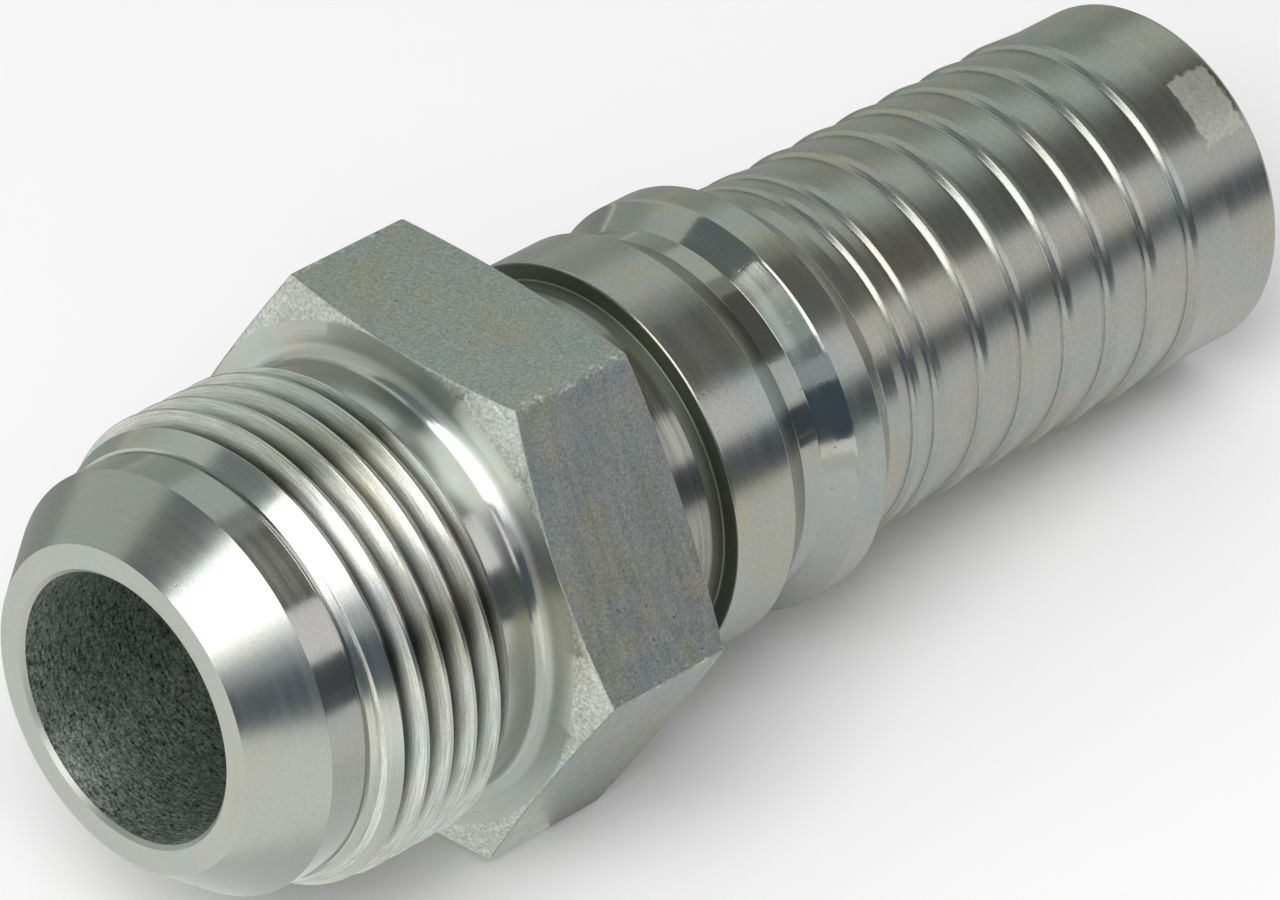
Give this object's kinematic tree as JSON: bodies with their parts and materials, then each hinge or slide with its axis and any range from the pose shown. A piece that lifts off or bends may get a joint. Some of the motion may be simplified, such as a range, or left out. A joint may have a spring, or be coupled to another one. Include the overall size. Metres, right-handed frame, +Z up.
{
  "type": "threaded hose nipple",
  "caption": "One-piece steel hose insert with a 37 degree cone nose, a male thread, a hexagon, a shell groove with collars and a barbed hose tail.",
  "frame": {"origin": "centre of the bore's mouth in the plane of the nose face", "axes": "the part lies at rest: +Z up, +X level and away from the nose towards the tail, and the part's own axis falls 4.89 degrees below +X towards the tail, because it rests on the hexagon's rear edge and the tail's rim; one hexagon flat faces up"},
  "size_m": [0.0987, 0.0414, 0.0369],
  "materials": {
    "plated_steel": "turned steel with a thin bright zinc plating, faintly olive and blue, dull and speckled on the hexagon's flats"
  },
  "bodies": {
    "root": {"fitting_body": "plated_steel"}
  },
  "joints": []
}
